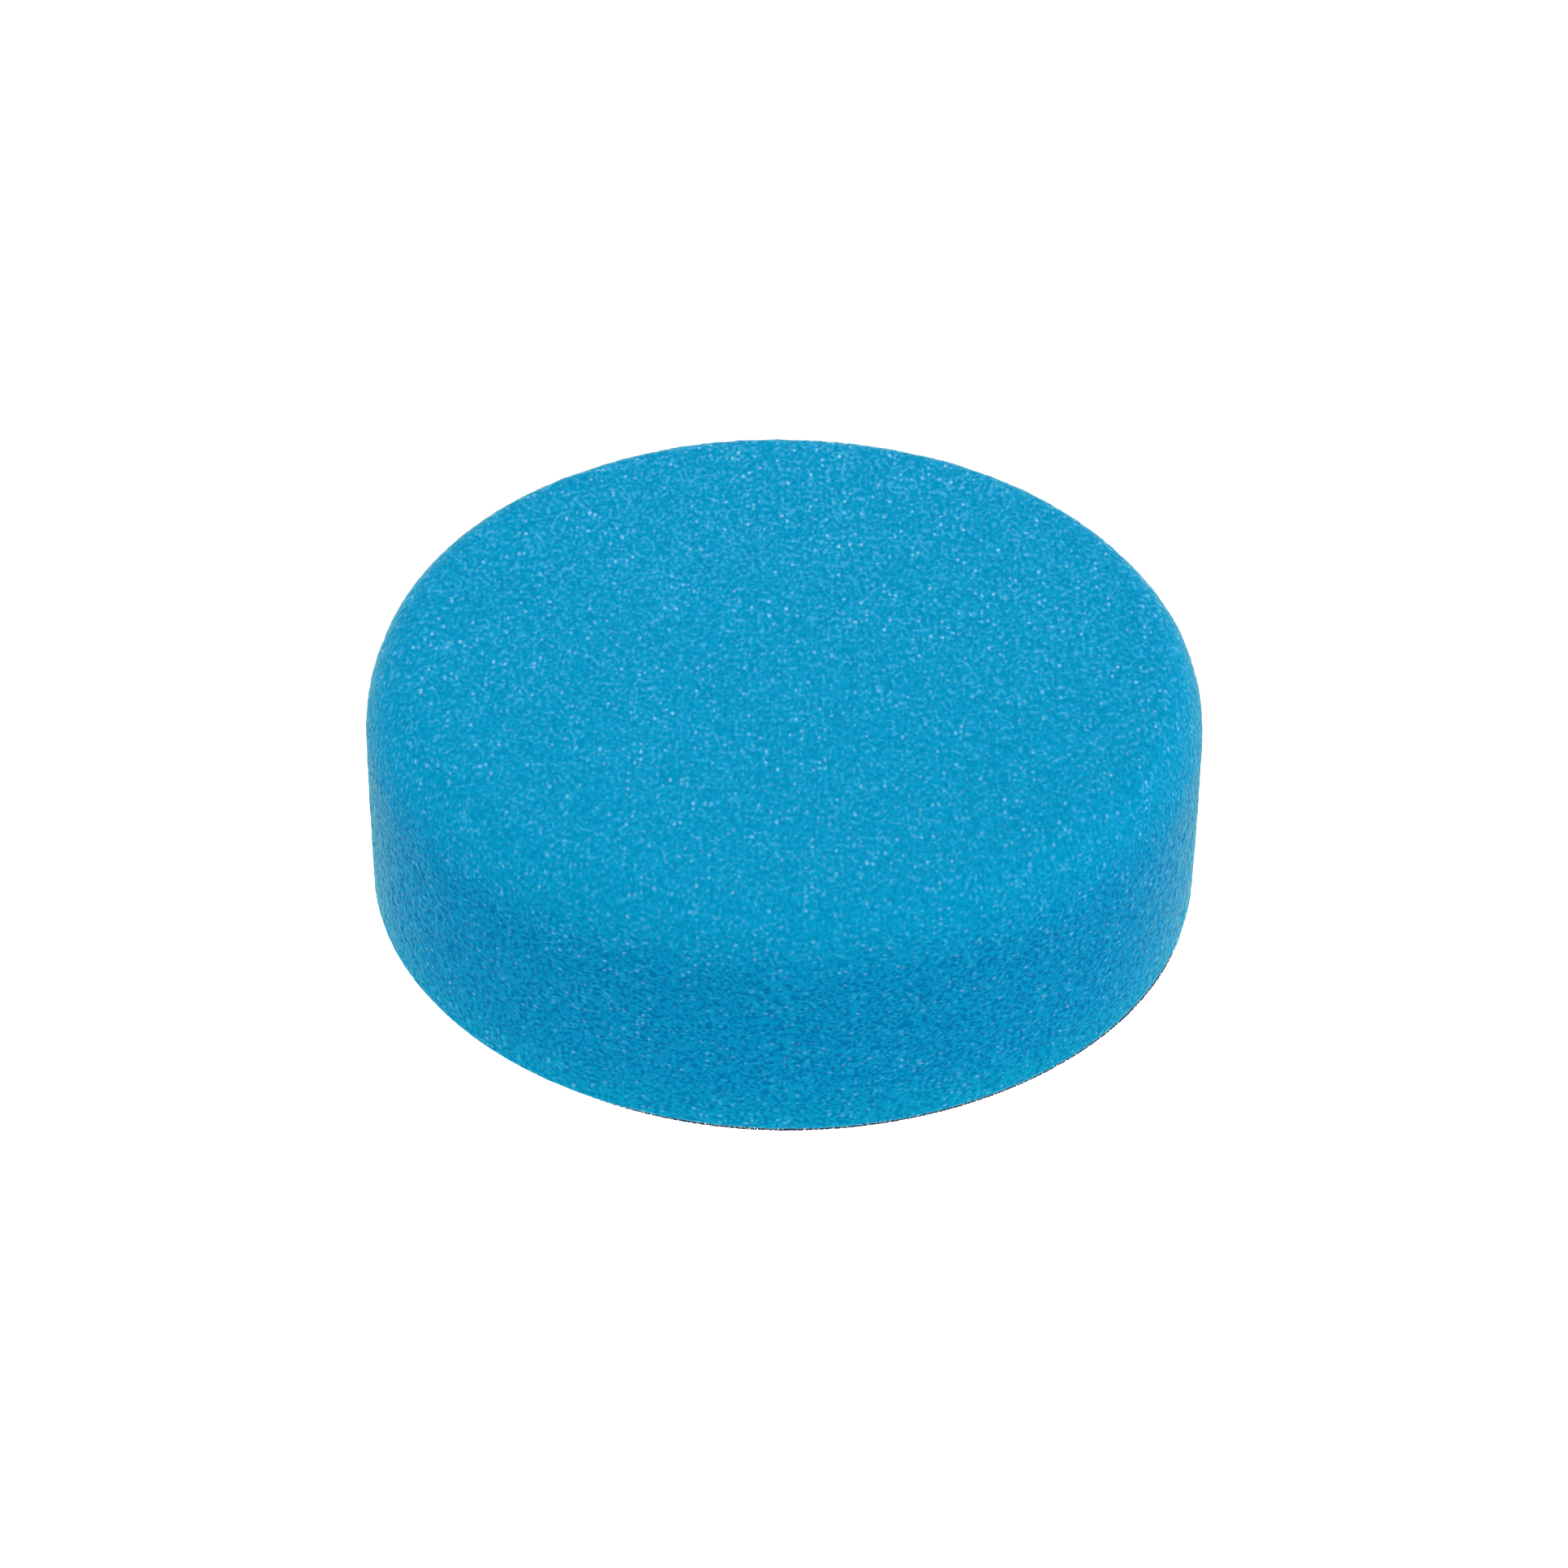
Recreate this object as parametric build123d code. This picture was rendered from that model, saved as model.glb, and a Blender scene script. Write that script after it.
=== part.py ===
from build123d import *
import math
import os

# A round polishing sponge for a powered hand polisher. A thick disc of polyurethane foam is
# bonded to a thin disc of loop fabric, which grips the hook face of the machine's backing plate.
# Millimetres, +Z up. The origin is the middle of the foam's footprint on the surface that the
# sponge stands on, so the loop fabric faces down and the polishing face is on top.

# ---- driving dimensions ----
FOAM_DIAMETER = 80.0        # widest part of the foam, at the foot of its rounded shoulder
FOAM_THICKNESS = 25.0       # bonded face to polishing face
SIDE_LEAN = 0.3             # how far the cut side leans in from the shoulder down to the base
SHOULDER_ACROSS = 4.3       # rounded edge of the polishing face, measured inwards
SHOULDER_DOWN = 7.2         # the same edge, measured down the side
BACKING_THICKNESS = 1.5     # loop fabric with its pile standing free
BACKING_MARGIN = 1.45       # bare foam left round the fabric, which keeps it off the paint
BACKING_SHIFT = 1.05        # how far off centre the fabric is bonded
BACKING_SHIFT_ANGLE = 42.0  # direction of that shift, in degrees from +X

# ---- worked out from them ----
WIDEST_RADIUS = FOAM_DIAMETER / 2
BASE_RADIUS = WIDEST_RADIUS - SIDE_LEAN
BACKING_RADIUS = BASE_RADIUS - BACKING_MARGIN
BOND_Z = BACKING_THICKNESS
FACE_Z = BOND_Z + FOAM_THICKNESS
SHOULDER_Z = FACE_Z - SHOULDER_DOWN
FACE_RADIUS = WIDEST_RADIUS - SHOULDER_ACROSS


def foam_section():
    """Half section of the foam: flat base, straight leaning side, soft shoulder, flat face."""
    base = Line((0, BOND_Z), (BASE_RADIUS, BOND_Z))
    side = Line((BASE_RADIUS, BOND_Z), (WIDEST_RADIUS, SHOULDER_Z))
    shoulder = EllipticalCenterArc(
        (FACE_RADIUS, SHOULDER_Z), SHOULDER_ACROSS, SHOULDER_DOWN, start_angle=0, arc_size=90
    )
    face = Line((FACE_RADIUS, FACE_Z), (0, FACE_Z))
    middle = Line((0, FACE_Z), (0, BOND_Z))
    return make_face(Plane.XZ * (base + side + shoulder + face + middle))


def foam_pad():
    """The foam, cut as one piece and turned about its axis."""
    return revolve(foam_section(), Axis.Z)


def loop_backing():
    """The disc of loop fabric under the foam, bonded a little off centre."""
    angle = math.radians(BACKING_SHIFT_ANGLE)
    middle = Pos(BACKING_SHIFT * math.cos(angle), BACKING_SHIFT * math.sin(angle), 0)
    return middle * extrude(Circle(BACKING_RADIUS), BACKING_THICKNESS)


os.makedirs("parts", exist_ok=True)
NODES = {"foam_pad": foam_pad, "loop_backing": loop_backing}
for name, make in NODES.items():
    export_step(make(), f"parts/{name}.step")
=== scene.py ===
"""Looks for a round polishing sponge: bright blue foam bonded to a dark disc of loop fabric.

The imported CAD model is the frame, and everything here is in metres in that same frame. Foam and
fabric are both soft, so a detailed piece stands for each of their plain CAD solids.
"""
import logging
import math
from collections.abc import Callable, Sequence
from dataclasses import dataclass, field
from enum import Enum

import bpy
import numpy as np
from mathutils import Matrix, Vector


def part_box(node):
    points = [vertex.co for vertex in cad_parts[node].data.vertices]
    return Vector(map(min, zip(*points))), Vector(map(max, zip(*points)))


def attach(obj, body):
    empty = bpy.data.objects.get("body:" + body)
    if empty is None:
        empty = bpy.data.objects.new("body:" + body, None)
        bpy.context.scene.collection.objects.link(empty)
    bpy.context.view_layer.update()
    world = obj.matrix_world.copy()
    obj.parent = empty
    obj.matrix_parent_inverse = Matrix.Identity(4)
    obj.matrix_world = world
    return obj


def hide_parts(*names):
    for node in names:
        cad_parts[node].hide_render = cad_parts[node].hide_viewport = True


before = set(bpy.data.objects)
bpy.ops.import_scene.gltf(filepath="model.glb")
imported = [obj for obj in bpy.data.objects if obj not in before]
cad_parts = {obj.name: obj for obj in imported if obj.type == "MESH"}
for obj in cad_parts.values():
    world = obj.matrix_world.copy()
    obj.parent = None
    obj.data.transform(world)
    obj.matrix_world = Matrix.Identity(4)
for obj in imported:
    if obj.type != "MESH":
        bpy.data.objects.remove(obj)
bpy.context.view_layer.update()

MM = 0.001
BODY = "root"
TURN = 2 * math.pi
NEAR = 0.01 * MM
TINY = 1e-12
Triple = tuple[float, float, float]
Colour = Triple
Span = tuple[float, float]


# ---------------------------------------------------------------- node trees as expressions


@dataclass(frozen=True)
class Field:
    """A number or vector that varies over a piece: one output socket, with plain arithmetic.

    Arithmetic on numbers adds Math nodes. Vectors go through the tree's own vector method.
    """

    tree: "Tree"
    socket: bpy.types.NodeSocket

    def __add__(self, other: "Field | float") -> "Field":
        """Sum of two fields."""
        return self.tree.math("ADD", self, other)

    def __sub__(self, other: "Field | float") -> "Field":
        """This field less another."""
        return self.tree.math("SUBTRACT", self, other)

    def __rsub__(self, other: float) -> "Field":
        """A number less this field."""
        return self.tree.math("SUBTRACT", other, self)

    def __mul__(self, other: "Field | float") -> "Field":
        """Product of two fields."""
        return self.tree.math("MULTIPLY", self, other)

    def __truediv__(self, other: "Field | float") -> "Field":
        """This field shared out by another."""
        return self.tree.math("DIVIDE", self, other)

    def __rtruediv__(self, other: float) -> "Field":
        """A number shared out by this field."""
        return self.tree.math("DIVIDE", other, self)

    __radd__ = __add__
    __rmul__ = __mul__

    def rise(self, low: float, high: float) -> "Field":
        """A smooth step from 0 at low to 1 at high, or falling where low is the larger.

        Args:
            low: value at which the step is 0.
            high: value at which the step is 1.

        Returns:
            The step, kept between 0 and 1.
        """
        start, end, ends = (low, high, (0.0, 1.0)) if low < high else (high, low, (1.0, 0.0))
        return self.tree.node(
            "ShaderNodeMapRange",
            {"interpolation_type": "SMOOTHSTEP"},
            {"Value": self, "From Min": start, "From Max": end, "To Min": ends[0], "To Max": ends[1]},
        )

    def root(self) -> "Field":
        """Square root of this field."""
        return self.tree.math("SQRT", self)

    def sine(self) -> "Field":
        """Sine of this field, in radians."""
        return self.tree.math("SINE", self)


Input = Field | float | Sequence[float]


@dataclass(frozen=True)
class Tree:
    """A node tree, for a material or for a mesh's own geometry nodes."""

    nodes: bpy.types.Nodes
    links: bpy.types.NodeLinks

    def node(
        self,
        kind: str,
        settings: dict[str, object] | None = None,
        inputs: dict[str | int, Input] | None = None,
        output: str | int = 0,
    ) -> Field:
        """Adds one node.

        Args:
            kind: Blender's name for the node's type.
            settings: the node's own properties, set before anything is linked.
            inputs: the value of each input, or the field that feeds it, by name or place.
            output: the output wanted, by name or place.

        Returns:
            The field on that output.
        """
        made = self.nodes.new(kind)
        for name, value in (settings or {}).items():
            setattr(made, name, value)
        for name, value in (inputs or {}).items():
            if isinstance(value, Field):
                self.links.new(value.socket, made.inputs[name])
            else:
                made.inputs[name].default_value = value
        return Field(self, made.outputs[output])

    def math(self, operation: str, *values: Input) -> Field:
        """A Math node on one or two numbers."""
        return self.node("ShaderNodeMath", {"operation": operation}, dict(enumerate(values)))

    def stretch(self, place: Field, by: Sequence[float]) -> Field:
        """A place with each axis multiplied by its own number."""
        return self.node("ShaderNodeVectorMath", {"operation": "MULTIPLY"}, {0: place, 1: by})

    def scale(self, vector: Field, by: Input) -> Field:
        """A vector or a colour made larger or smaller by a number."""
        return self.node("ShaderNodeVectorMath", {"operation": "SCALE"}, {0: vector, "Scale": by})

    def shift(self, place: Field, by: Input) -> Field:
        """A place moved by a vector."""
        return self.node("ShaderNodeVectorMath", {"operation": "ADD"}, {0: place, 1: by})

    def parts(self, place: Field) -> tuple[Field, Field, Field]:
        """The X, Y and Z of a place as three numbers."""
        first = self.node("ShaderNodeSeparateXYZ", {}, {0: place})
        return tuple(Field(self, s) for s in first.socket.node.outputs)

    def noise(self, place: Field, per_mm: float, detail: float = 0.0) -> Field:
        """Smooth noise from 0 to 1, with this many lumps to the millimetre."""
        wanted = {"Vector": place, "Scale": per_mm, "Detail": detail, "Roughness": 0.55}
        return self.node("ShaderNodeTexNoise", {"noise_dimensions": "3D"}, wanted)

    def radius(self, place: Field) -> Field:
        """How far a place is from the upright axis."""
        x, y, _ = self.parts(place)
        return (x * x + y * y).root()

    def cells(self, place: Field, per_mm: float) -> Field:
        """Distance from each place to the middle of its cell, in cell widths."""
        wanted = {"Vector": place, "Scale": per_mm}
        return self.node("ShaderNodeTexVoronoi", {"voronoi_dimensions": "3D"}, wanted, "Distance")

    def specks(self, place: Field, per_mm: float, size: Span, rarity: Span) -> Field:
        """Small round specks: some cells have one at their middle, and most do not.

        Args:
            place: where on the piece, in millimetres.
            per_mm: how many cells there are to the millimetre.
            size: where a speck ends and where it is full, in cell widths from its middle.
            rarity: the lot, from 0 to 1, from which a cell has a speck, and at which it is full.

        Returns:
            The specks, from 0 to 1.
        """
        near = self.cells(place, per_mm)
        lot, _, _ = self.parts(Field(self, near.socket.node.outputs["Color"]))
        return near.rise(*size) * lot.rise(*rarity)

    def blend(self, amount: Input, low: Input, high: Input) -> Field:
        """A colour between two colours.

        Args:
            amount: 0 for the low colour, 1 for the high one.
            low: the colour at 0.
            high: the colour at 1.

        Returns:
            The mixed colour.
        """
        ends = {
            "Factor_Float": amount,
            "A_Color": low if isinstance(low, Field) else (*low, 1.0),
            "B_Color": high if isinstance(high, Field) else (*high, 1.0),
        }
        made = self.nodes.new("ShaderNodeMix")
        made.data_type = "RGBA"
        for socket in made.inputs:
            if socket.identifier in ends:
                value = ends[socket.identifier]
                if isinstance(value, Field):
                    self.links.new(value.socket, socket)
                else:
                    socket.default_value = value
        return Field(self, next(s for s in made.outputs if s.identifier == "Result_Color"))


@dataclass(frozen=True)
class Surface:
    """What a finish gives its shader: fields that vary, and numbers that hold all over."""

    colour: Field
    roughness: Field | float
    height: Field
    relief: float
    plain: dict[str, Input]


class Finish:
    """A surface finish, worn by one or more pieces."""

    title = "finish"

    def surface(self, tree: Tree, place: Field) -> Surface:
        """What the finish gives its shader, at a place in millimetres on the piece."""
        raise NotImplementedError

    def material(self) -> bpy.types.Material:
        """Makes the Blender material.

        Returns:
            A material whose colour, roughness and bump all come from nodes.
        """
        made = bpy.data.materials.new(self.title)
        made.use_nodes = True
        tree = Tree(made.node_tree.nodes, made.node_tree.links)
        shader = made.node_tree.nodes["Principled BSDF"]
        at = tree.node("ShaderNodeTexCoord", output="Object")
        found = self.surface(tree, tree.stretch(at, (1 / MM,) * 3))
        bump = {"Strength": 1.0, "Distance": found.relief, "Height": found.height}
        wanted = {
            "Base Color": found.colour,
            "Roughness": found.roughness,
            "Normal": tree.node("ShaderNodeBump", {}, bump),
            **found.plain,
        }
        for name, value in wanted.items():
            if isinstance(value, Field):
                tree.links.new(value.socket, shader.inputs[name])
            else:
                shader.inputs[name].default_value = value
        return made


# ---------------------------------------------------------------- finishes


@dataclass(frozen=True)
class Shades:
    """The colours of foam: a darker tone, partly painted shade in the cell hollows, the body colour,
    then painted highlights and glints where cut walls catch the light.
    """

    deep: Colour
    body: Colour
    painted_haze: Colour
    painted_glint: Colour
    mottle: Span = (0.22, 0.66)

    def over(self, tree: Tree, tone: Field, painted_haze_amount: Field, specks: Field) -> Field:
        """The colour of one surface.

        Args:
            tree: the tree that the colour is added to.
            tone: fine mottling, from 0 to 1, whose dark end is partly painted shade in the cell hollows.
            painted_haze_amount: how much painted whitish highlight the cut cell walls give, from 0 to 1.
            specks: where a single wall glints, painted into the colour, from 0 to 1.

        Returns:
            The mixed colour.
        """
        # Painted light: the darker tone is partly painted shade, and the last two colours are painted
        # highlights and glints of the cut walls.
        colour = tree.blend(tone.rise(*self.mottle), self.deep, self.body)
        return tree.blend(specks, tree.blend(painted_haze_amount, colour, self.painted_haze), self.painted_glint)


@dataclass(frozen=True)
class FoamFinish(Finish):
    """Fine open-cell foam: saturated blue, with painted highlights and glints where cut cell walls catch
    the light, a painted light band on the shoulder and painted light towards the back of the face.

    The three heights, from the frame, are in metres. All other lengths are in millimetres.
    """

    face_z: float
    shoulder_z: float
    base_z: float
    title = "blue_foam"
    # Each palette's first colour is partly painted shade in the cell hollows, and its last two are painted
    # highlights and glints.
    face: Shades = Shades(
        (0.0001, 0.183, 0.340), (0.0016, 0.223, 0.406), (0.036, 0.286, 0.492), (0.240, 0.490, 0.700)
    )
    side: Shades = Shades(
        (0.0001, 0.135, 0.316), (0.0012, 0.226, 0.432), (0.025, 0.300, 0.518), (0.270, 0.500, 0.710)
    )
    foot: Shades = Shades(
        (0.0001, 0.155, 0.314), (0.0012, 0.245, 0.412), (0.025, 0.316, 0.498), (0.270, 0.510, 0.700)
    )
    face_lie: Triple = (1.0, 0.64, 1.0)
    round_lie: Triple = (0.95, 0.95, 1.1)
    side_lie: Triple = (0.93, 0.70, 1.16)
    face_ends: Span = (2.2, 0.6)
    side_starts: float = 3.0
    shade_starts: float = 2.2
    shade_ends: float = 1.0
    foot_height: float = 7.0
    cells_per_mm: float = 2.7
    # The pale fields set how much painted whitish highlight the cut walls give; the side gets a little less.
    pale_shift: Triple = (31.0, 17.0, 5.0)
    pale_share: float = 0.7
    pale_span: Span = (0.49, 0.80)
    side_less_pale: float = 0.02
    patches_per_mm: float = 0.4
    patch: float = 0.10
    # Painted light: the cut-wall highlights grow towards the back (+Y) by this much per millimetre.
    painted_back_light: float = 0.0012
    # The specks are painted glints of single cut walls; only their polish changes the roughness.
    specks_per_mm: float = 1.8
    speck_size: Span = (0.44, 0.12)
    speck_rarity: Span = (0.70, 1.08)
    speck_strength: float = 0.7
    speck_bunching: float = 6.0
    # Painted light: the shoulder band is made lighter by this share, between these depths below the face and
    # the shoulder.
    painted_shoulder_light: float = 0.07
    painted_light_below_face: Span = (1.5, 3.0)
    painted_light_below_shoulder: float = 1.0
    rough: float = 0.92
    speck_polish: float = 0.2
    relief: float = 0.14
    sheen: float = 0.48
    sheen_rough: float = 0.22
    sheen_tint: tuple[float, ...] = (0.61, 1.0, 0.66, 1.0)

    def lies(self, tree: Tree, place: Field) -> list[tuple[Field, Field]]:
        """How the cells lie: drawn out on the face and on the side, and round in between.

        Args:
            tree: the tree that the fields are added to.
            place: where on the foam, in millimetres.

        Returns:
            For each way that cells lie, the stretched place and its share. The squares of the
            shares add up to 1, which keeps the mottling as strong where two ways meet.
        """
        _, _, z = tree.parts(place)
        top, shoulder = self.face_z / MM, self.shoulder_z / MM
        flat = z.rise(top - self.face_ends[0], top - self.face_ends[1])
        upright = z.rise(top - self.side_starts, shoulder)
        between = 1 - flat - upright
        whole = (flat * flat + between * between + upright * upright).root()
        return [
            (tree.stretch(place, self.face_lie), flat / whole),
            (tree.stretch(place, self.round_lie), between / whole),
            (tree.stretch(place, self.side_lie), upright / whole),
        ]

    def surface(self, tree: Tree, place: Field) -> Surface:
        """Colour, roughness and bump of the foam.

        Args:
            tree: the tree that the finish is added to.
            place: where on the foam, in millimetres.

        Returns:
            What the shader is given.
        """
        _, y, z = tree.parts(place)
        top, shoulder, base = self.face_z / MM, self.shoulder_z / MM, self.base_z / MM
        on_side = z.rise(top - self.shade_starts, shoulder - self.shade_ends)
        at_foot = z.rise(base + self.foot_height, base)
        lies = self.lies(tree, place)
        # tone is the colour's mottling and also the bump's height, so its dark end is partly painted shade in
        # the cell hollows; on the side its drawn-out grain is partly painted light and shade of the cut
        # cells.
        tone = 0.5 + sum((tree.noise(at, self.cells_per_mm) - 0.5) * share for at, share in lies)
        moved = [(tree.shift(at, self.pale_shift), share) for at, share in lies]
        pale = 0.5 + sum((tree.noise(at, self.cells_per_mm) - 0.5) * share for at, share in moved)
        # patch is random patches plus painted light growing towards the back (+Y); it also bunches the
        # painted glints there.
        patch = (tree.noise(place, self.patches_per_mm) - 0.5) * self.patch + y * self.painted_back_light
        cut = pale * self.pale_share + tone * (1 - self.pale_share)
        # Painted whitish highlights of the cut cell walls, a little fewer on the side.
        painted_haze_amount = (cut + patch - on_side * self.side_less_pale).rise(*self.pale_span)
        size, rarity = self.speck_size, self.speck_rarity
        # The specks are painted glints of single cut walls.
        found = sum(tree.specks(at, self.specks_per_mm, size, rarity) * share for at, share in lies)
        specks = found * (self.speck_strength + patch * self.speck_bunching)
        face = self.face.over(tree, tone, painted_haze_amount, specks)
        side = self.side.over(tree, tone, painted_haze_amount, specks)
        foot = self.foot.over(tree, tone, painted_haze_amount, specks)
        colour = tree.blend(on_side, face, tree.blend(at_foot, side, foot))
        # Painted light: a band on the shoulder, just below the face's edge, is made lighter.
        above = z.rise(top, top - self.painted_light_below_face[0])
        below = z.rise(shoulder - self.painted_light_below_shoulder, top - self.painted_light_below_face[1])
        return Surface(
            colour=tree.scale(colour, 1 + above * below * self.painted_shoulder_light),
            roughness=self.rough - specks * self.speck_polish,
            height=tone,
            relief=self.relief * MM,
            plain={
                "Specular IOR Level": 0.01,
                "Sheen Weight": self.sheen,
                "Sheen Roughness": self.sheen_rough,
                "Sheen Tint": self.sheen_tint,
            },
        )


@dataclass(frozen=True)
class KnitFinish(Finish):
    """The ground that the loops are knitted into: dark, close and flat."""

    title = "knit_ground"
    thread: Colour = (0.006, 0.011, 0.030)
    gap: Colour = (0.0015, 0.0025, 0.008)
    course: float = 0.55
    weave: float = 0.9
    fuzz: float = 0.4
    fibres_per_mm: float = 7.0
    thread_span: Span = (0.2, 1.2)
    rough: float = 0.75
    rough_spread: float = 0.2
    relief: float = 0.10

    def surface(self, tree: Tree, place: Field) -> Surface:
        """Colour, roughness and bump of the knit.

        Args:
            tree: the tree that the finish is added to.
            place: where on the knit, in millimetres.

        Returns:
            What the shader is given.
        """
        x, y, _ = tree.parts(place)
        along = (x * (TURN / self.course)).sine()
        across = (y * (TURN / self.course) + along * self.weave).sine()
        stitch = across * 0.5 + 0.5
        fibre = tree.noise(place, self.fibres_per_mm, 2.0)
        height = stitch + fibre * self.fuzz
        return Surface(
            colour=tree.blend(height.rise(*self.thread_span), self.gap, self.thread),
            roughness=self.rough + fibre * self.rough_spread,
            height=height,
            relief=self.relief * MM,
            plain={"Specular IOR Level": 0.3, "Sheen Weight": 0.1, "Sheen Roughness": 0.5},
        )


@dataclass(frozen=True)
class PileFinish(Finish):
    """Nylon loops: dark navy, a little glossy along the thread."""

    title = "loop_pile"
    dark: Colour = (0.004, 0.010, 0.036)
    light: Colour = (0.012, 0.030, 0.090)
    tufts_per_mm: float = 0.9
    fibres_per_mm: float = 9.0
    light_span: Span = (0.3, 0.7)
    rough: float = 0.62
    rough_spread: float = 0.2
    relief: float = 0.01

    def surface(self, tree: Tree, place: Field) -> Surface:
        """Colour, roughness and bump of the loops.

        Args:
            tree: the tree that the finish is added to.
            place: where on the pile, in millimetres.

        Returns:
            What the shader is given.
        """
        tuft = tree.noise(place, self.tufts_per_mm, 2.0)
        fibre = tree.noise(place, self.fibres_per_mm)
        return Surface(
            colour=tree.blend(tuft.rise(*self.light_span), self.dark, self.light),
            roughness=self.rough + fibre * self.rough_spread,
            height=fibre,
            relief=self.relief * MM,
            plain={"Specular IOR Level": 0.18, "Sheen Weight": 0.08, "Sheen Roughness": 0.4},
        )


@dataclass(frozen=True)
class FloorFinish(Finish):
    """A plain pale floor that glows evenly, with a painted pool of light round the sponge.

    It is dark only where the fabric lies on it, a painted shadow. Sizes in metres come from the frame,
    and the other lengths are in millimetres.
    """

    edge: float
    cover: float
    cover_at: Vector
    title = "pale_floor"
    low: Colour = (0.11, 0.11, 0.11)
    high: Colour = (0.12, 0.12, 0.12)
    mottle_per_mm: float = 0.01
    rough: float = 0.9
    glow: float = 0.86
    # Strength of the painted pool of light round the sponge, and where it ends and where it is full.
    pool: float = 0.8
    pool_past: float = 14.0
    pool_within: float = 4.0
    shade_within: float = 0.6
    shade_past: float = 0.1

    def surface(self, tree: Tree, place: Field) -> Surface:
        """Colour, roughness and glow of the floor.

        Args:
            tree: the tree that the finish is added to.
            place: where on the floor, in millimetres.

        Returns:
            What the shader is given.
        """
        mottle = tree.noise(place, self.mottle_per_mm)
        edge, cover = self.edge / MM, self.cover / MM
        # Painted light: the floor glows more strongly round the sponge.
        pool = tree.radius(place).rise(edge + self.pool_past, edge - self.pool_within)
        # Painted shadow: the floor does not glow where the fabric lies on it.
        off = tree.radius(tree.shift(place, -self.cover_at / MM))
        bare = off.rise(cover - self.shade_within, cover + self.shade_past)
        lit = (pool * self.pool + self.glow) * bare
        return Surface(
            colour=tree.blend(mottle, self.low, self.high),
            roughness=self.rough,
            height=mottle,
            relief=0.0,
            plain={
                "Specular IOR Level": 0.0,
                "Emission Color": tree.node("ShaderNodeCombineXYZ", {}, {0: lit, 1: lit, 2: lit}),
                "Emission Strength": 1.0,
            },
        )


# ---------------------------------------------------------------- meshes


@dataclass(frozen=True)
class Ring:
    """One ring of a turned mesh: how far along the outline it lies, and its number of points."""

    along: float
    count: int
    phase: float


@dataclass
class Outline:
    """A half section, from one point on the axis round to another, as lengths along it.

    Its rings lie a share of the wanted spacing apart, and each has at least a few points.
    """

    radius: np.ndarray
    z: np.ndarray
    ring_share: float = 0.9
    least: int = 6

    def __post_init__(self) -> None:
        """Works out the length along the outline at each of its points."""
        steps = np.hypot(np.diff(self.radius), np.diff(self.z))
        self.along = np.concatenate([[0.0], np.cumsum(steps)])

    def at(self, along: np.ndarray) -> tuple[np.ndarray, np.ndarray]:
        """Radius and height at lengths along the outline."""
        return np.interp(along, self.along, self.radius), np.interp(along, self.along, self.z)

    def rings(self, spacing: Callable[[float, float], float]) -> list[Ring]:
        """Rings whose points lie about one spacing apart, both round and along.

        Args:
            spacing: gives the wanted spacing at a radius and height.

        Returns:
            The rings in order, without the two points on the axis.
        """
        found, along = [], 0.0
        while True:
            radius, z = (float(v) for v in self.at(np.array(along)))
            step = spacing(radius, z)
            along += step * self.ring_share
            if along >= self.along[-1] - 0.5 * step:
                return found
            radius, z = (float(v) for v in self.at(np.array(along)))
            count = max(self.least, round(TURN * radius / spacing(radius, z)))
            found.append(Ring(along, count, 0.5 * (len(found) % 2)))


def zip_rings(first: Ring, start: int, second: Ring, then: int) -> np.ndarray:
    """Triangles between two rings, whatever their numbers of points.

    Args:
        first: the ring nearer the outline's start.
        start: index of its first vertex.
        second: the next ring.
        then: index of its first vertex.

    Returns:
        Three vertex indices for each triangle, facing outwards on an outline that runs from the
        top of the axis out and down.
    """
    mids = (np.arange(first.count) + 0.5 + first.phase) / first.count
    next_mids = (np.arange(second.count) + 0.5 + second.phase) / second.count
    i, j = np.arange(first.count), np.arange(second.count)
    near = np.searchsorted(next_mids, mids) % second.count
    back = np.searchsorted(mids, next_mids, side="right") % first.count
    out = np.column_stack([start + i, then + near, start + (i + 1) % first.count])
    home = np.column_stack([start + back, then + j, then + (j + 1) % second.count])
    return np.concatenate([out, home])


def turned_mesh(name: str, outline: Outline, rings: list[Ring], wander: float, seed: int) -> bpy.types.Object:
    """A closed turned form, made of rings of near-equal triangles.

    Args:
        name: the piece's name.
        outline: its half section, from the top of the axis round to the bottom.
        rings: the rings to place on that outline.
        wander: how far each point strays along and round, in ring spacings.
        seed: seed for that straying.

    Returns:
        The new object, linked to the scene.
    """
    chance = np.random.default_rng(seed)
    points, faces, starts = [[0.0, 0.0, outline.z[0]]], [], []
    for n, ring in enumerate(rings):
        starts.append(len(points))
        gap = ring.along - (rings[n - 1].along if n else 0.0)
        along = ring.along + gap * wander * chance.uniform(-1, 1, ring.count)
        angle = TURN * (np.arange(ring.count) + ring.phase + wander * chance.uniform(-1, 1, ring.count))
        radius, z = outline.at(np.clip(along, 0, outline.along[-1]))
        angle /= ring.count
        points.extend(np.column_stack([radius * np.cos(angle), radius * np.sin(angle), z]).tolist())
        if n:
            faces.append(zip_rings(rings[n - 1], starts[n - 1], ring, starts[n]))
    first, last = np.arange(rings[0].count), np.arange(rings[-1].count)
    faces.append(np.column_stack([0 * first, 1 + first, 1 + (first + 1) % len(first)]))
    points.append([0.0, 0.0, outline.z[-1]])
    end = starts[-1]
    faces.append(np.column_stack([end + last, 0 * last + len(points) - 1, end + (last + 1) % len(last)]))
    return new_piece(name, np.array(points), np.concatenate(faces))


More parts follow.
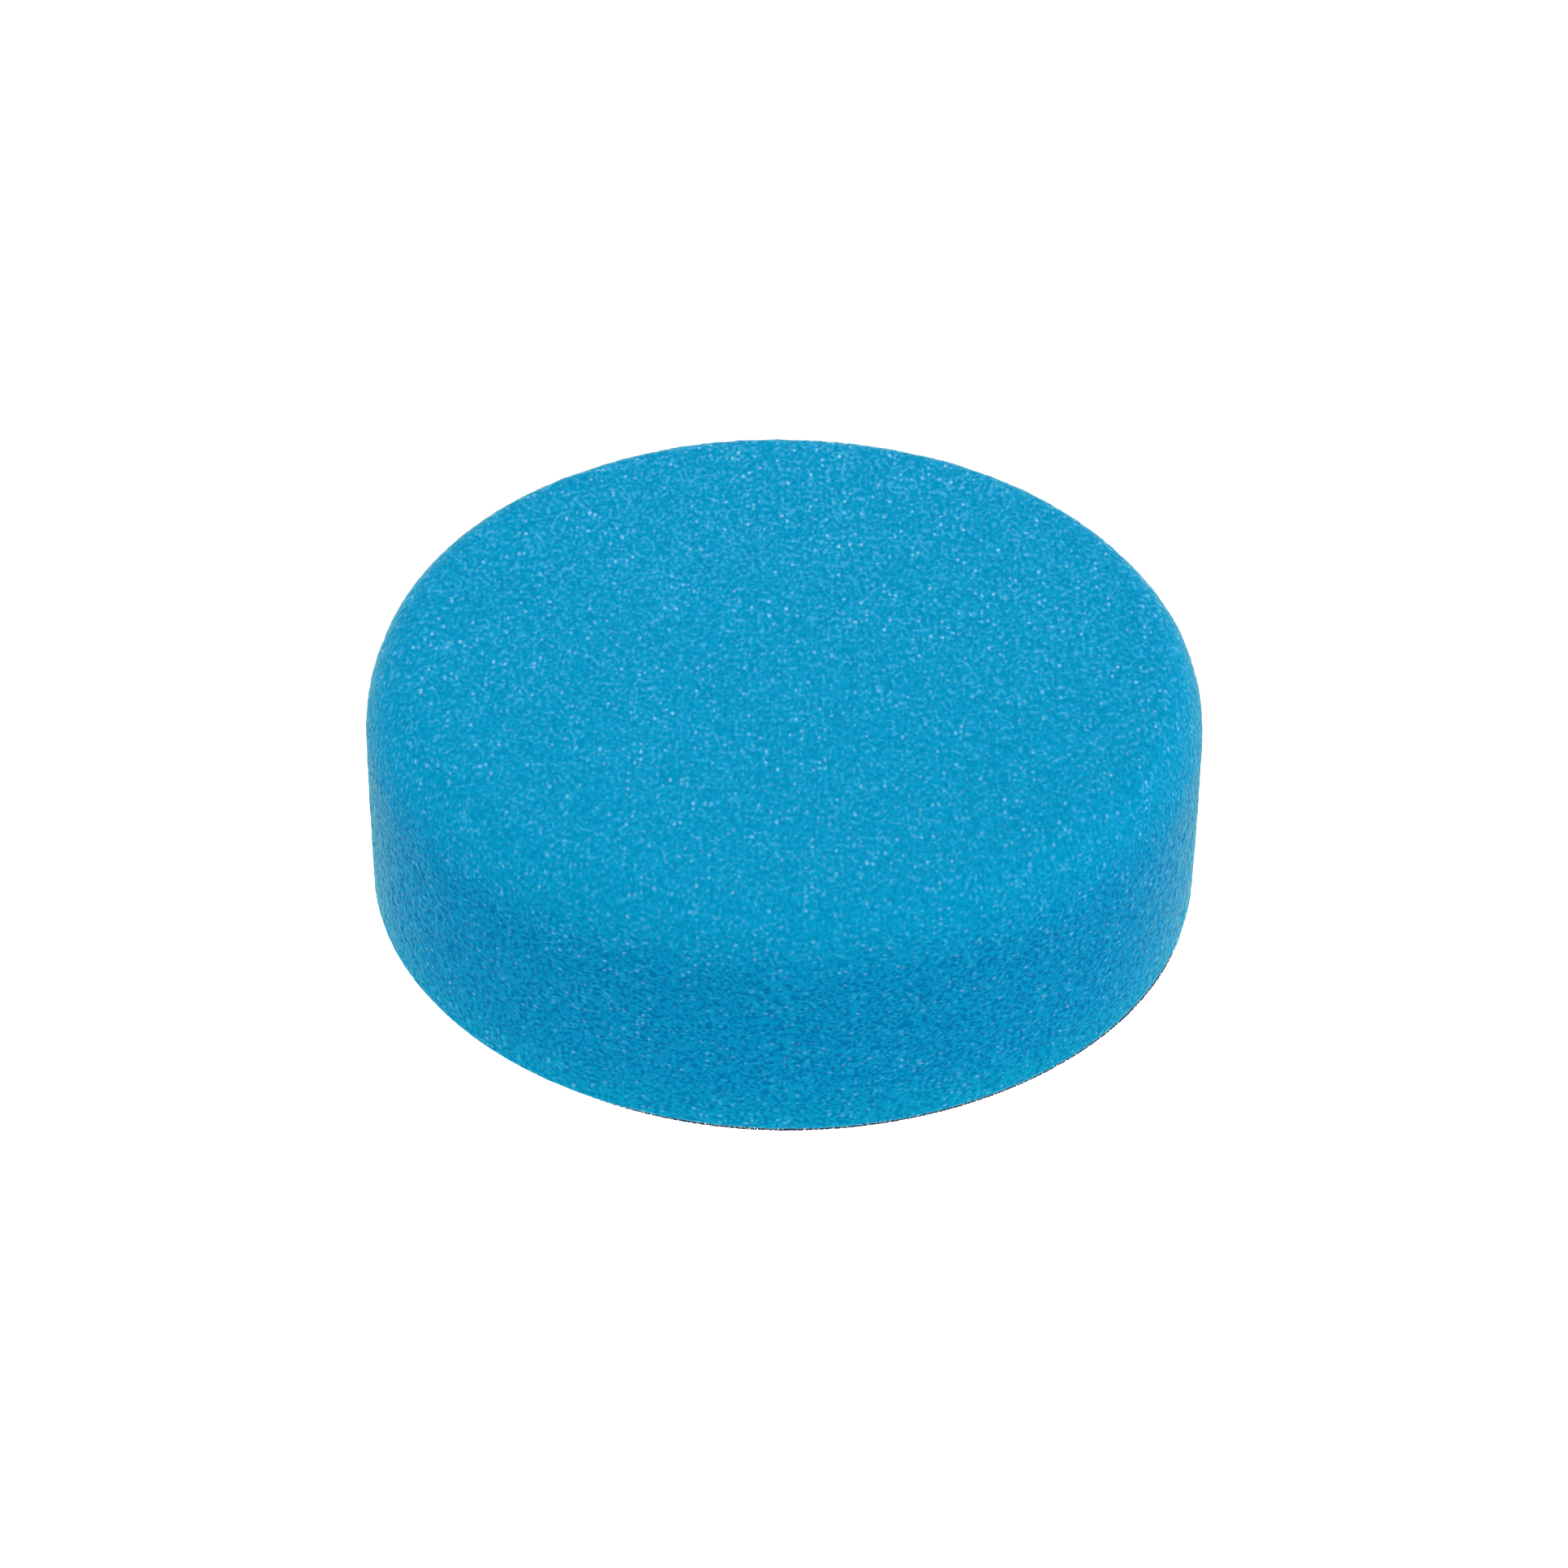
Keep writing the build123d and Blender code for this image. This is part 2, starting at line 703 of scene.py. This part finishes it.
def new_piece(name: str, points: np.ndarray, faces: np.ndarray) -> bpy.types.Object:
    """A smooth-shaded mesh object from points and triangles.

    Args:
        name: the piece's name.
        points: one row of X, Y, Z for each vertex, in metres.
        faces: one row of vertex indices for each face.

    Returns:
        The new object, linked to the scene.
    """
    mesh = bpy.data.meshes.new(name)
    mesh.from_pydata(points.tolist(), [], faces.tolist())
    mesh.validate()
    mesh.shade_smooth()
    made = bpy.data.objects.new(name, mesh)
    bpy.context.scene.collection.objects.link(made)
    return made


def places(piece: bpy.types.Object) -> np.ndarray:
    """Reads where the vertices of a piece are.

    Args:
        piece: the piece to read.

    Returns:
        One row of X, Y, Z for each vertex, in metres.
    """
    found = np.empty(len(piece.data.vertices) * 3, np.float32)
    piece.data.vertices.foreach_get("co", found)
    return found.reshape(-1, 3).astype(float)


def move_to(piece: bpy.types.Object, points: np.ndarray) -> None:
    """Puts the vertices of a piece at new places."""
    piece.data.vertices.foreach_set("co", points.astype(np.float32).ravel())
    piece.data.update()


def press(piece: bpy.types.Object, height: Callable[[Tree, Field], Field]) -> None:
    """Moves a piece's surface along its normals by a field, and keeps the result in its mesh.

    Args:
        piece: the piece to move.
        height: makes the field of heights, in metres, from a place in millimetres.
    """
    group = bpy.data.node_groups.new(piece.name + "_relief", "GeometryNodeTree")
    for way in ("INPUT", "OUTPUT"):
        group.interface.new_socket("Geometry", in_out=way, socket_type="NodeSocketGeometry")
    tree = Tree(group.nodes, group.links)
    at = tree.stretch(tree.node("GeometryNodeInputPosition"), (1 / MM,) * 3)
    offset = tree.scale(tree.node("GeometryNodeInputNormal"), height(tree, at))
    moved = {"Geometry": tree.node("NodeGroupInput"), "Offset": offset}
    group.links.new(
        tree.node("GeometryNodeSetPosition", {}, moved).socket, group.nodes.new("NodeGroupOutput").inputs[0]
    )
    piece.modifiers.new("relief", "NODES").node_group = group
    bpy.context.view_layer.update()
    shaped = piece.evaluated_get(bpy.context.evaluated_depsgraph_get())
    finished = bpy.data.meshes.new_from_object(shaped)
    piece.modifiers.clear()
    piece.data = finished


# ---------------------------------------------------------------- the sponge


@dataclass
class FoamPad:
    """The foam disc: flat polishing face, soft shoulder, straight cut side, bonded base."""

    shoulder_across: float = 4.3 * MM
    shoulder_down: float = 7.2 * MM
    side_lean: float = 0.2 * MM
    heel: float = 0.8 * MM
    curve_steps: int = 40
    spacing: float = 0.358 * MM
    hidden_spacing: float = 2.5 * MM
    bare_margin: float = 2.6 * MM
    wander: float = 0.18
    seed: int = 11
    dents_per_mm: float = 1.15
    dent_span: Span = (0.05, 0.75)
    dent: float = 0.10 * MM
    lumps_per_mm: float = 0.32
    lump: float = 0.10 * MM
    grains_per_mm: float = 1.7
    grain: float = 0.12 * MM
    waves_per_mm: float = 0.045
    wave: float = 0.35 * MM
    swell: float = 0.08 * MM
    bonded_height: float = 1.2
    bonded_share: float = 0.2

    def __post_init__(self) -> None:
        """Reads the foam's size and place from the frame."""
        low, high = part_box("foam_pad")
        self.radius = (high.x - low.x) / 2
        self.base_z, self.face_z = low.z, high.z
        self.shoulder_z = self.face_z - self.shoulder_down

    def outline(self) -> Outline:
        """Draws the half section of the foam.

        Returns:
            The outline from the middle of the face out, down the side and back to the axis.
        """
        quarter = np.linspace(0, math.pi / 2, self.curve_steps)
        rim = self.radius - self.shoulder_across
        base = self.radius - self.side_lean
        shoulder_r = rim + self.shoulder_across * np.sin(quarter)
        shoulder_z = self.shoulder_z + self.shoulder_down * np.cos(quarter)
        heel_r = base - self.heel + self.heel * np.cos(quarter)
        heel_z = self.base_z + self.heel - self.heel * np.sin(quarter)
        radius = np.concatenate([[0.0], shoulder_r, heel_r, [0.0]])
        return Outline(radius, np.concatenate([[self.face_z], shoulder_z, heel_z, [self.base_z]]))

    def spacing_at(self, radius: float, z: float) -> float:
        """Fine wherever the foam shows, coarse where the fabric hides its base."""
        hidden = z < self.base_z + NEAR and radius < self.radius - self.bare_margin
        return self.hidden_spacing if hidden else self.spacing

    def relief(self, tree: Tree, place: Field) -> Field:
        """Open cells, lumps and a slow wave, all weaker near the bonded base.

        Args:
            tree: the tree that the fields are added to.
            place: where on the foam, in millimetres.

        Returns:
            Height of the foam's surface off its true form, in metres.
        """
        dents = tree.cells(place, self.dents_per_mm).rise(*self.dent_span) - 1.0
        lumps = tree.noise(place, self.lumps_per_mm, 1.0) - 0.5
        grain = tree.noise(place, self.grains_per_mm) - 0.5
        wave = tree.noise(place, self.waves_per_mm) - 0.5
        _, _, z = tree.parts(place)
        base = self.base_z / MM
        free = z.rise(base, base + self.bonded_height) * (1 - self.bonded_share) + self.bonded_share
        height = dents * self.dent + lumps * self.lump + grain * self.grain + wave * self.wave
        return height * free + self.swell

    def build(self) -> bpy.types.Object:
        """Builds the foam's mesh, with its open surface, and dresses it.

        Returns:
            The finished piece.
        """
        outline = self.outline()
        rings = outline.rings(self.spacing_at)
        piece = turned_mesh("foam_body", outline, rings, self.wander, self.seed)
        press(piece, self.relief)
        piece.data.materials.append(FoamFinish(self.face_z, self.shoulder_z, self.base_z).material())
        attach(piece, BODY)
        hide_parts("foam_pad")
        return piece


class Zone(Enum):
    """A band of the loop pile, as shares of the disc's radius where it starts and ends."""

    HEART = (0.0, math.sqrt(1 / 3))
    MIDDLE = (math.sqrt(1 / 3), math.sqrt(2 / 3))
    RIM = (math.sqrt(2 / 3), 1.0)
    EDGE = (1.0, 1.0)


@dataclass(frozen=True)
class Tufts:
    """Where some loops leave the ground, and how they hang from it.

    Each loop has its own root, way of leaning, push to one side, and reach from the middle of the
    disc. The least length, as a share of the longest, and the fullness of the arch go for all.
    """

    at: np.ndarray
    lean: np.ndarray
    splay: np.ndarray
    reach: np.ndarray
    least: float
    arch: float


@dataclass
class LoopBacking:
    """The disc of loop fabric: a knitted ground with a pile of loops under it.

    Lengths are in metres, but the spans of a loop's width and curl, and of how far back from the
    cut edge the fringe stands, are in millimetres. Stray, least, arch and twist are shares.
    """

    ground_thickness: float = 0.45 * MM
    ground_spacing: float = 0.5 * MM
    ground_wander: float = 0.1
    ground_seed: int = 23
    rim_steps: int = 12
    bare_margin: float = 2.0 * MM
    bond_gap: float = 0.02 * MM
    rib_pitch: float = 1.1 * MM
    rib_height: float = 0.06 * MM
    pitch: float = 0.68 * MM
    stray: float = 0.32
    hem: float = 0.15 * MM
    spare_rows: int = 8
    push: float = 0.22 * MM
    least: float = 0.72
    arch: float = 0.75
    fringe: float = 0.09 * MM
    fringe_stray: float = 0.4
    fringe_back: Span = (0.10, 0.45)
    fringe_arch: float = 0.4
    spread: float = 0.27 * MM
    spread_mean: float = 1.42
    lobes: int = 3
    pinch: float = math.radians(58)
    thread: float = 0.045 * MM
    loop_width: Span = (0.30, 0.62)
    loop_curl: Span = (0.10, 0.26)
    twist: float = 0.6
    twist_turns: float = 0.8
    floor_press: float = 0.03 * MM
    pile_seed: int = 31
    turns: int = 8
    sides: int = 3
    pile: list[bpy.types.Object] = field(default_factory=list)

    def __post_init__(self) -> None:
        """Reads the fabric's size and place from the frame."""
        low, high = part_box("loop_backing")
        self.centre = Vector(((low.x + high.x) / 2, (low.y + high.y) / 2, 0.0))
        self.radius = (high.x - low.x) / 2
        self.floor_z, self.bond_z = low.z, high.z

    def ground(self) -> bpy.types.Object:
        """Builds the knitted ground, flat against the foam and ribbed underneath.

        Returns:
            The finished ground.
        """
        under = self.bond_z - self.ground_thickness
        rim = np.linspace(0, math.pi, self.rim_steps)
        bulge = self.ground_thickness / 2
        radius = np.concatenate([[0.0], self.radius - bulge + bulge * np.sin(rim), [0.0]])
        z = np.concatenate([[self.bond_z], under + bulge + bulge * np.cos(rim), [under]])
        outline = Outline(radius, z)

        def spacing(radius: float, z: float) -> float:
            """Fine underneath and round the rim, coarse against the foam."""
            hidden = z > self.bond_z - NEAR and radius < self.radius - self.bare_margin
            return 4 * self.ground_spacing if hidden else self.ground_spacing

        rings = outline.rings(spacing)
        piece = turned_mesh("loop_ground", outline, rings, self.ground_wander, self.ground_seed)
        points = places(piece)
        points[:, 2] -= self.bond_gap
        wales, courses = (np.sin(points[:, axis] * TURN / self.rib_pitch) for axis in (0, 1))
        rib = self.rib_height * wales * courses
        points[:, 2] += np.where(points[:, 2] < under + bulge, rib, 0.0)
        move_to(piece, points + np.array(self.centre))
        piece.data.materials.append(KnitFinish().material())
        return piece

    def roots(self, zone: Zone, chance: np.random.Generator) -> np.ndarray:
        """Sets out where the loops of one zone leave the ground, in an uneven close grid.

        Args:
            zone: the band of the disc.
            chance: where the loops get their unevenness.

        Returns:
            One row of X and Y for each loop, from the middle of the disc.
        """
        reach = math.ceil(self.radius / self.pitch) + 1
        rows = reach + self.spare_rows
        row = self.pitch * math.sqrt(3) / 2
        i, j = np.meshgrid(np.arange(-reach, reach + 1), np.arange(-rows, rows + 1))
        at = np.column_stack([(i + 0.5 * (j % 2)).ravel() * self.pitch, j.ravel() * row])
        at += chance.uniform(-self.stray, self.stray, at.shape) * self.pitch
        share = np.hypot(at[:, 0], at[:, 1]) / (self.radius - self.hem)
        low, high = zone.value
        return at[(share >= low) & (share < high)]

    def pile_tufts(self, zone: Zone, chance: np.random.Generator) -> Tufts:
        """Sets out the loops of one inner zone: every way round, and of uneven length.

        Args:
            zone: the band of the disc.
            chance: where the loops get their unevenness.

        Returns:
            The loops of that zone.
        """
        at = self.roots(zone, chance)
        splay = chance.normal(0.0, 1.0, at.shape) * self.push
        reach = np.full(len(at), self.radius)
        return Tufts(at, chance.uniform(0, TURN, len(at)), splay, reach, self.least, self.arch)

    def edge_tufts(self, chance: np.random.Generator) -> Tufts:
        """Sets out the loops along the cut edge: close, pushed outwards and down onto the floor.

        Args:
            chance: where the loops get their unevenness.

        Returns:
            The loops of the edge, which spread furthest in a few gentle lobes round the disc.
        """
        count = round(TURN * self.radius / self.fringe)
        stray = chance.uniform(-self.fringe_stray, self.fringe_stray, count)
        angle = TURN * (np.arange(count) + stray) / count
        out = np.column_stack([np.cos(angle), np.sin(angle)])
        back = chance.uniform(*self.fringe_back, (count, 1)) * MM
        lobe = np.cos(self.lobes * (angle + self.pinch))
        reach = self.radius + self.spread * (self.spread_mean - lobe)
        splay = out * (reach[:, None] - self.radius + back)
        root = out * (self.radius - back)
        return Tufts(root, angle + math.pi / 2, splay, reach, 1.0, self.fringe_arch)

    def loops(self, zone: Zone, material: bpy.types.Material) -> bpy.types.Object:
        """Builds one zone of the pile, each loop a bent thread from the ground and back to it.

        Args:
            zone: the band of the disc.
            material: what the loops are made of.

        Returns:
            The piece that holds that zone's loops.
        """
        chance = np.random.default_rng(self.pile_seed + list(Zone).index(zone))
        tufts = self.edge_tufts(chance) if zone is Zone.EDGE else self.pile_tufts(zone, chance)
        points, faces = threads(self.bends(tufts, chance), self.thread, self.sides)
        piece = new_piece(f"loop_pile_{zone.name.lower()}", points, faces)
        piece.data.materials.append(material)
        return piece

    def bends(self, tufts: Tufts, chance: np.random.Generator) -> np.ndarray:
        """The path of each loop.

        Args:
            tufts: where the loops stand and how they hang.
            chance: where the loops get their unevenness.

        Returns:
            Places along each loop, as loops by points by three.
        """
        n = len(tufts.at)
        deep = self.bond_z - self.ground_thickness - self.floor_z + self.floor_press
        height = deep * chance.uniform(tufts.least, 1.0, n)
        width = chance.uniform(*self.loop_width, n) * MM
        curl = chance.uniform(*self.loop_curl, n) * MM
        spin = chance.uniform(0, TURN, n)
        t = np.linspace(0, 1, self.turns)[None, :]
        arch = np.sin(math.pi * t) ** tufts.arch
        sway = width[:, None] * (t - 0.5) + curl[:, None] * np.sin(TURN * t + spin[:, None]) * arch
        round_twist = np.cos(TURN * self.twist_turns * t + spin[:, None])
        twist = self.twist * curl[:, None] * round_twist * arch
        ca, sa = np.cos(tufts.lean)[:, None], np.sin(tufts.lean)[:, None]
        x = tufts.at[:, :1] + ca * sway - sa * twist + tufts.splay[:, :1] * arch
        y = tufts.at[:, 1:] + sa * sway + ca * twist + tufts.splay[:, 1:] * arch
        far = np.maximum(np.hypot(x, y) / tufts.reach[:, None], 1.0)
        z = self.floor_z + deep - (height[:, None] - self.thread) * arch
        z = np.maximum(z, self.floor_z + self.thread)
        return np.stack([x / far + self.centre.x, y / far + self.centre.y, z], axis=2)

    def build(self) -> bpy.types.Object:
        """Returns:
            The ground. The pieces of the pile are kept in the pile field.
        """
        ground = self.ground()
        finish = PileFinish().material()
        self.pile = [self.loops(zone, finish) for zone in Zone]
        for piece in (ground, *self.pile):
            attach(piece, BODY)
        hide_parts("loop_backing")
        2 * self.radius
        2 * self.radius
        math.pi * self.radius ** 2
        return ground


def threads(path: np.ndarray, thickness: float, sides: int) -> tuple[np.ndarray, np.ndarray]:
    """Thin round tubes along many paths at once.

    Args:
        path: places along each thread, as threads by points by three.
        thickness: the radius of the thread.
        sides: how many points go round it.

    Returns:
        The vertices, and the triangles between them.
    """
    many, long = path.shape[:2]
    slant = np.array([0.31, 0.87, 0.38])
    way = np.gradient(path, axis=1)
    way /= np.maximum(np.linalg.norm(way, axis=2, keepdims=True), TINY)
    side = np.cross(way, slant)
    side /= np.maximum(np.linalg.norm(side, axis=2, keepdims=True), TINY)
    other = np.cross(way, side)
    round_it = (np.arange(sides) * TURN / sides)[None, None, :, None]
    ring = np.cos(round_it) * side[:, :, None] + np.sin(round_it) * other[:, :, None]
    points = (path[:, :, None] + ring * thickness).reshape(-1, 3)
    a, s, k = np.meshgrid(np.arange(many), np.arange(long - 1), np.arange(sides), indexing="ij")
    this = ((a * long + s) * sides + k).ravel()
    beside = ((a * long + s) * sides + (k + 1) % sides).ravel()
    one = np.column_stack([this, beside, beside + sides])
    two = np.column_stack([this, beside + sides, this + sides])
    return points, np.concatenate([one, two])


# ---------------------------------------------------------------- the studio


@dataclass
class Studio:
    """Plain pale floor, soft light from all round, and the camera."""

    elevation: float = math.radians(37.71)
    roll: float = math.radians(0.93)
    distance: float = 640 * MM
    drop: float = 1.95 * MM
    lens: float = 152.3
    sensor: float = 36.0
    clip: Span = (0.01, 50.0)
    floor_size: float = 8.0
    sky: float = 1.45
    lamp_at: Triple = (0.90, 0.0, 0.25)
    lamp_size: float = 0.8
    lamp_power: float = 2.6

    def floor(self) -> None:
        """Lays the floor under the sponge, in shadow only where the fabric covers it."""
        half = self.floor_size / 2
        corners = np.array([[-half, -half, 0], [half, -half, 0], [half, half, 0], [-half, half, 0]])
        made = new_piece("floor", corners, np.array([[0, 1, 2, 3]]))
        foam_low, foam_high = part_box("foam_pad")
        low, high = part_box("loop_backing")
        cover_at = Vector(((low.x + high.x) / 2, (low.y + high.y) / 2, 0.0))
        finish = FloorFinish((foam_high.x - foam_low.x) / 2, (high.x - low.x) / 2, cover_at)
        made.data.materials.append(finish.material())

    def lights(self) -> None:
        """Sets an even white surround and one broad soft lamp to the right."""
        world = bpy.data.worlds.new("surround")
        world.use_nodes = True
        world.node_tree.nodes["Background"].inputs["Color"].default_value = (1.0, 1.0, 1.0, 1.0)
        world.node_tree.nodes["Background"].inputs["Strength"].default_value = self.sky
        bpy.context.scene.world = world
        self.lamp("side", Vector(self.lamp_at), self.lamp_size, self.lamp_power)

    def lamp(self, name: str, at: Vector, size: float, power: float) -> None:
        """Hangs one square soft lamp that faces the sponge.

        Args:
            name: the lamp's name.
            at: where it hangs.
            size: the length of its side.
            power: its power in watts.
        """
        data = bpy.data.lights.new(name, "AREA")
        data.shape, data.size, data.energy = "SQUARE", size, power
        made = bpy.data.objects.new(name, data)
        made.location = at
        made.rotation_euler = (-at).to_track_quat("-Z", "Y").to_euler()
        made.visible_camera = False
        bpy.context.scene.collection.objects.link(made)

    def camera(self, middle: Vector) -> None:
        """Places the camera.

        Args:
            middle: the middle of the foam, which the view is centred on.
        """
        back = Vector((0, -math.cos(self.elevation), math.sin(self.elevation)))
        level, raised = Vector((1, 0, 0)), back.cross(Vector((1, 0, 0)))
        right = math.cos(self.roll) * level + math.sin(self.roll) * raised
        up = math.cos(self.roll) * raised - math.sin(self.roll) * level
        data = bpy.data.cameras.new("camera")
        data.sensor_width, data.lens = self.sensor, self.lens
        data.clip_start, data.clip_end = self.clip
        made = bpy.data.objects.new("camera", data)
        made.matrix_world = Matrix.Translation(
            middle + back * self.distance - up * self.drop
        ) @ Matrix((right, up, back)).transposed().to_4x4()
        bpy.context.scene.collection.objects.link(made)
        bpy.context.scene.camera = made

    def build(self, middle: Vector) -> None:
        """Sets up the floor, the lights and the camera.

        Args:
            middle: the middle of the foam, which the view is centred on.
        """
        self.camera(middle)
        self.floor()
        self.lights()
        bpy.context.scene.view_settings.view_transform = "Standard"


def main() -> None:
    """Builds the studio and then the sponge."""
    logging.basicConfig(level=logging.INFO, format="%(message)s")
    log = logging.getLogger("sponge")
    low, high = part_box("foam_pad")
    Studio().build((low + high) / 2)
    backing = LoopBacking()
    for piece in (FoamPad().build(), backing.build(), *backing.pile):
        log.info("%s: %d triangles", piece.name, len(piece.data.polygons))


if __name__ == "__main__":
    main()
